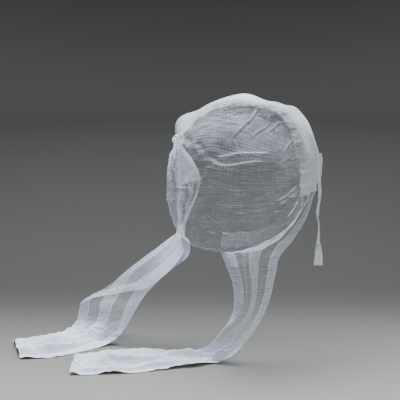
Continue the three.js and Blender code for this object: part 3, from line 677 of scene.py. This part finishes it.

# over: row of the two tables, share of the width that is folded over
# turned: row, how far the inner hem is turned away so that the rest lies flat
# creases: width, depth, bunching, then row and share across of each place
# bumps: row and share across, then length, width and height in metres
# pleated: first and last row of the denser cloth, how much denser, and how much denser at the root, which is negative:
# the root is thinned there as painted shade under the crown
streamers = {
    "right": {
        "start": band["ends"][0] - binding["gap"], "root": rightRoot, "fall": rightFall, "reach": 0.2, "face": 1,
        "over": [(0, 0), (15, 0)], "turned": [(0, 0), (3.4, 0), (5, 1), (7.6, 1), (9.4, 0), (15, 0)],
        "creases": [(0.0024, 0.0030, 0.3, [(4.2, 0.30), (6.2, 0.24), (8.2, 0.22)]),
                    (0.0026, -0.0022, 0, [(6.0, 0.62), (8, 0.68), (9.5, 0.70)]),
                    (0.0056, 0.0080, 0, [(8.6, 0.45), (10, 0.40), (11.5, 0.48), (13, 0.42), (15, 0.46)]),
                    (0.0042, 0.0030, 0, [(9.2, 0.16), (11, 0.24), (12.6, 0.17), (15, 0.24)]),
                    (0.0052, 0.0105, 0, [(9.5, 0.75), (11, 0.66), (12.4, 0.74), (14.8, 0.64)]),
                    (0.0026, 0.0036, 0.3, [(10.5, 0.94), (12, 0.86), (13.4, 0.93), (14.7, 0.84)])],
        "bumps": [(11.9, 0.02, 0.010, 0.008, 0.0045), (13.05, 0.03, 0.008, 0.008, 0.0015),
                  (14.0, 0.06, 0.008, 0.010, 0.003), (14.85, 0.60, 0.010, 0.020, 0.008),
                  (14.75, 0.3, 0.009, 0.014, 0.002), (11.0, 0.1, 0.02, 0.012, 0.001),
                  (14.9, 0.95, 0.010, 0.014, 0.005), (12.6, 0.5, 0.02, 0.01, 0.004),
                  (13.6, 0.75, 0.018, 0.010, 0.005), (10.8, 0.97, 0.030, 0.014, 0.006),
                  (13.4, 0.98, 0.014, 0.010, 0.004)],
        "pleated": (3.2, 7.4, 0.0, -0.20), "seed": 21},
    "left": {
        "start": band["ends"][1] + binding["gap"], "root": leftRoot, "fall": leftFall, "reach": 0.33, "face": -1,
        "over": [(0, 0), (3, 0.1), (5, 0.46), (8, 0.5), (9, 0.33), (10, 0.04), (10.5, 0), (15, 0)],
        "turned": [(0, 0), (15, 0)],
        "creases": [(0.0024, 0.0026, 0.3, [(5.0, 0.3), (7, 0.22), (8.5, 0.2)]),
                    (0.0044, 0.0090, 0, [(10.5, 0.2), (12, 0.3), (13.3, 0.2), (14.8, 0.28)]),
                    (0.0056, 0.0085, 0, [(10.8, 0.55), (12.2, 0.46), (13.6, 0.56), (15, 0.5)]),
                    (0.0046, 0.0034, 0, [(11.0, 0.80), (12.4, 0.72), (13.8, 0.80), (15, 0.76)])],
        "bumps": [(11.9, 0.97, 0.012, 0.010, 0.004), (13.3, 0.96, 0.010, 0.010, 0.002),
                  (14.8, 0.95, 0.010, 0.012, 0.003), (14.85, 0.5, 0.010, 0.02, 0.007),
                  (14.8, 0.12, 0.010, 0.02, 0.005), (13.4, 0.7, 0.018, 0.012, 0.005),
                  (12.0, 0.4, 0.016, 0.012, 0.004)],
        "pleated": (3.2, 7.4, 0.45, -0.16), "seed": 31}}


def rowCount(one):
    return len(one["root"]) + len(one["fall"])


def hemLines(one, lowest):  # where the inner and the outer hem run, by row of the tables
    root, fall = one["root"], one["fall"]
    nape = crownPoint(270.0, 1.0)

    def place(across, back, up):
        return np.array([across * one["reach"], nape[1] + back * one["reach"], lowest + up * (nape[2] - lowest)])

    outerPath = [brimMiddle(np.array(one["start"]), np.array(band["width"]))]
    for _, across, back, down in root:
        outerPath.append(np.array([across * cap["half"], cap["middleBack"] + back * cap["back"],
                                   -cap["middleDrop"] - down * cap["fall"]]))
    outerPath += [place(*row[3:]) for row in fall]
    innerPath = [brimMiddle(np.array(float(root[-1][0])), np.array(ribbon["sewn"]))] + [place(*row[:3]) for row in fall]
    sewnAngles = [one["start"]] + [row[0] for row in root]

    def innerAt(station):
        station = np.clip(station, 0, rowCount(one))
        angle = np.interp(station, range(len(root) + 1), sewnAngles)
        sewn = brimMiddle(angle, np.full_like(angle, ribbon["sewn"]))
        free = curveAt(innerPath, np.clip((station - len(root)) / len(fall), 0, 1))
        return np.where((station > len(root))[..., None], free, sewn)

    def outerAt(station):
        return curveAt(outerPath, np.clip(station, 0, rowCount(one)) / rowCount(one))

    return innerAt, outerAt


def ribbonRelief(one, station, share, lying):  # creases and rumples, and how far the cloth bunches
    along, aside = station * ribbon["row"], share * ribbon["width"]
    creases = [(width, depth, dense, [(row * ribbon["row"], part * ribbon["width"]) for row, part in places])
               for width, depth, dense, places in one["creases"]]
    fine, bunched = creased(creases, along, aside)
    far = share if one["face"] < 0 else 1 - share
    fine = fine + rumpled(ribbonRumples, along, aside, one["seed"])
    fine = fine + lying * rumpled(lyingRumples, along, aside, one["seed"])
    fine = fine + lying * (1 - 0.7 * smooth(far, 0.55, 0.9)) * rumpled(lyingWaves, along, aside, one["seed"])
    return fine, bunched


def ribbonPoints(one, stations, shares):  # points of a streamer, and how much denser its cloth is there
    lowest = view["floor"] + ribbon["offFloor"]
    innerAt, outerAt = hemLines(one, lowest)
    station, share = np.meshgrid(stations, shares, indexing="ij")
    inner, outer = innerAt(stations), outerAt(stations)
    chord = outer - inner
    after = innerAt(stations + 0.4) + outerAt(stations + 0.4)
    before = innerAt(stations - 0.4) + outerAt(stations - 0.4)
    normal = unit(np.cross(after - before, chord)) * one["face"]
    # a share of the width is folded over
    over = np.maximum(lookUp(one["over"], stations), 0)[:, None]
    laid = 1 - over
    bend = ribbon["foldBend"] * np.minimum(over / (2 * ribbon["foldBend"]), 1)
    across = 1 - (np.hypot(share - laid, bend) - bend) / (np.hypot(laid, bend) - bend)
    lift = smooth((share - laid) / ribbon["foldBend"], -1, 1) * np.minimum(over / ribbon["foldBend"], 1)
    # the spare width stands up in pleats, which are lower on the floor
    slopes = 2 * ribbon["pleats"]
    length = np.linalg.norm(chord, axis=-1)[:, None]
    height = np.sqrt(np.maximum((ribbon["width"] * laid / slopes) ** 2 - (length / slopes) ** 2, 0))
    raised = inner[:, None, 2] + across * chord[:, None, 2] - lowest
    rootRows = len(one["root"])
    most = np.minimum(height, ribbon["lie"] + raised / 3) * smooth(station, rootRows - 1, rootRows + 2)
    rise = most * (1 - np.cos(math.tau * ribbon["pleats"] * across)) / 2 + ribbon["foldGap"] * lift
    # the inner hem is turned away, and the rest lies flat
    turned = np.clip(lookUp(one["turned"], stations), 0, 1)[:, None]
    hem = ribbon["hem"] / ribbon["width"]
    near, rest = np.minimum(share / hem, 1), np.maximum((share - hem) / (1 - hem), 0)
    flatter = ribbon["turnFar"] * near ** 2 + (1 - ribbon["turnFar"]) * rest
    stand = ribbon["turnRise"] * np.sin(near * math.pi / 2) * (1 - rest) ** 1.4
    stand = stand + ribbon["turnWave"] * np.sin(rest * math.pi * 2.6)
    across = across + (flatter - across) * turned
    rise = rise + (stand - rise) * turned
    points = inner[:, None] + chord[:, None] * across[..., None] + normal[:, None] * rise[..., None]
    # relief, more of it where the cloth lies, and edges that wander
    lying = 1 - smooth(raised, 0.0, ribbon["lies"])
    free = smooth(station, *ribbon["free"])
    fine, bunched = ribbonRelief(one, station, share, lying)
    points = points + normal[:, None] * (fine * free)[..., None]
    along, aside = station * ribbon["row"], share * ribbon["width"]
    wander = free * lying * rumpled(edgeWander, along, aside, one["seed"])
    points = points + unit(chord)[:, None] * (wander * (share - 0.3))[..., None]
    points[..., 2] = np.maximum(points[..., 2], lowest)
    for row, part, long, wide, tall in one["bumps"]:
        bump = np.exp(-((along - row * ribbon["row"]) / long) ** 2 - ((aside - part * ribbon["width"]) / wide) ** 2)
        points[..., 2] += tall * bump
    # the cloth at the root is thinned, which darkens it as painted shade under the crown
    first, last, more, rootShadeThinning = one["pleated"]
    begun = smooth(station, first, first + 1.2)
    pleated = more * begun * (1 - smooth(station, last - 1.6, last)) + rootShadeThinning * (1 - begun)
    return points, bunched + ribbon["lyingDense"] * (1 - smooth(raised, *ribbon["lyingFrom"])) + pleated


def streamerCloth(side):
    one = streamers[side]
    stations = np.linspace(0, rowCount(one), ribbon["along"])
    shares = np.linspace(0, 1, ribbon["across"])
    main, bunched = ribbonPoints(one, stations, shares)
    normals = gridNormals(main)
    centre = main[:, len(shares) // 2]
    run = np.concatenate([[0], np.cumsum(np.linalg.norm(np.diff(centre, axis=0), axis=-1))])

    def flatOf(parts):
        return np.stack(np.broadcast_arrays(np.asarray(parts)[None, :] * ribbon["width"], run[:, None]), -1)

    def layer(fromShare, toShare, count, gap):  # a hem or the stripe, laid on the main cloth
        parts = np.linspace(fromShare, toShare, count)
        points, dense = ribbonPoints(one, stations, parts)
        at = np.interp(parts, shares, np.arange(len(shares)))
        low = np.clip(np.floor(at).astype(int), 0, len(shares) - 2)
        mix = (at - low)[None, :, None]
        normal = unit(normals[:, low] * (1 - mix) + normals[:, low + 1] * mix)
        offset, edged = np.full(count, gap), np.full(count, ribbon["hemDense"])
        for end in (0, -1):
            offset[end] = gap * ribbon["layerEdge"]
            edged[end] = ribbon["edgeDense"]
        return sheetGrid("layer", points + normal * offset[None, :, None], flatOf(parts), dense + edged[None, :])

    hem, half = ribbon["hem"] / ribbon["width"], ribbon["stripe"] / ribbon["width"] / 2
    ended = ribbon["edgeDense"] * smooth(run[-1] - run, ribbon["endHem"], ribbon["endHem"] * 0.8)[:, None]
    pieces = [sheetGrid("streamer", main, flatOf(shares), bunched + ended),
              layer(0, hem, ribbon["hemAcross"], -ribbon["layer"]),
              layer(1 - hem, 1, ribbon["hemAcross"], -ribbon["layer"]),
              layer(0.5 - half, 0.5 + half, ribbon["stripeAcross"], ribbon["layer"])]
    return joined(pieces, "streamer_" + side + "_cloth"), run[-1]


for side in streamers:
    piece, length = streamerCloth(side)
    dressed(piece, "sheer_cloth", "streamer_" + side)
    print("streamer", side, "is", round(float(length), 3), "m long")


tie = {"width": 0.014, "cut": 0.024, "length": 0.176, "angle": 24, "gap": 0.0004, "along": 120, "across": 10,
       "sway": 0.0010, "curl": 0.0012, "thick": 0.0004, "rumple": 0.0006, "endDense": 0.6, "end": (0.84, 0.92),
       "mottle": 0.4}
# along, turn of its width, share of its width
tieRows = [(0, 0, 0.8), (0.15, 6, 0.58), (0.45, 10, 0.55), (0.66, -10, 0.52), (0.78, 24, 0.5), (0.88, 50, 0.8),
           (1, 60, 1)]


def tieCloth(name, side):  # a flat loop all the way down: out along one face, back along the other
    angle = np.array(float(tie["angle"] if side < 0 else 180 - tie["angle"]))
    edge = brimMiddle(angle, np.array(band["width"]))
    along = np.linspace(0, 1, tie["along"])
    turn = np.radians(lookUp(tieRows, along))
    width = lookUp(tieRows, along, 2) * tie["width"]
    nil = np.zeros_like(turn)
    across = np.stack([side * np.sin(turn), -np.cos(turn), nil], -1)
    outward = np.stack([side * np.cos(turn), np.sin(turn), nil], -1)
    centre = edge + np.stack([nil, nil - tie["width"] / 2 - tie["gap"], -along * tie["length"]], -1)
    centre[:, 0] += side * tie["sway"] * np.sin(along * 9)
    down = along[:, None]
    loop = np.linspace(0, math.tau, 2 * tie["across"] + 1)[None, :]
    beside = np.clip(np.cos(loop) * 1.25, -1, 1) * 0.5
    thick = tie["thick"] * np.sin(loop) * (1 + 0.6 * np.sin(down * 60) ** 2)
    thick = thick + tie["curl"] * np.sin(down * 21) * 4 * beside ** 2
    thick = thick + tie["rumple"] * ripple(41, down * 0.17, beside * 0.01, 0.02)
    points = centre[:, None] + across[:, None] * (beside * width[:, None])[..., None]
    points = points + outward[:, None] * thick[..., None]
    flat = np.stack(np.broadcast_arrays(loop / math.tau * 2 * tie["width"], down * tie["length"]), -1)
    dense = tie["endDense"] * smooth(down, *tie["end"])
    dense = dense + tie["mottle"] * np.maximum(ripple(43, down * 0.02, beside * 0.01, 0.004), 0)
    return sheetGrid(name + "_cloth", points, flat, dense)


for side, name in ((-1, "tie_right"), (1, "tie_left")):
    piece = dressed(tieCloth(name, side), "doubled_cloth", name)
print("ties done")


def knotCloth():
    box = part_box("gather_knot")
    middle = (np.array(box[0]) + np.array(box[1])) / 2
    outward = unit(middle - crownMiddle)
    sideways = unit(np.cross(outward, np.array([0.0, -1.0, 0.0])))
    along = np.cross(sideways, outward)
    bpy.ops.object.select_all(action="DESELECT")
    bpy.ops.mesh.primitive_uv_sphere_add(segments=knot["segments"], ring_count=knot["rings"], radius=1)
    ball = bpy.context.object
    mesh = ball.data
    place = np.empty(len(mesh.vertices) * 3)
    mesh.vertices.foreach_get("co", place)
    x, y, height = place.reshape(-1, 3).T
    turn = np.arctan2(y, x)
    (lobe, lobes, lobeTwist), (deep, tucks, tuckTwist) = knot["lobes"], knot["tucks"]
    pucker = 1 + lobe * np.cos(lobes * turn + lobeTwist * height)
    pucker = pucker + deep * np.cos(tucks * turn + tuckTwist * height) * (1 - height ** 2)
    radius = knot["size"] / 2 * (pucker + knot["creased"] * ripple(51, x, y + height, 1.1))
    points = middle + np.outer(x * radius, along) + np.outer(y * radius, sideways)
    points = points + np.outer(height * radius * knot["flat"], outward)
    mesh.vertices.foreach_set("co", points.reshape(-1))
    mesh.attributes.new("layers", "FLOAT", "POINT").data.foreach_set("value", np.full(len(points), knot["dense"]))
    mesh.update()
    ball.location = (0, 0, 0)
    ball.name = "gather_knot_cloth"
    mesh.name = "gather_knot_cloth"
    bpy.ops.object.shade_smooth()
    return ball


dressed(knotCloth(), "doubled_cloth", "gather_knot")
print("knot done")
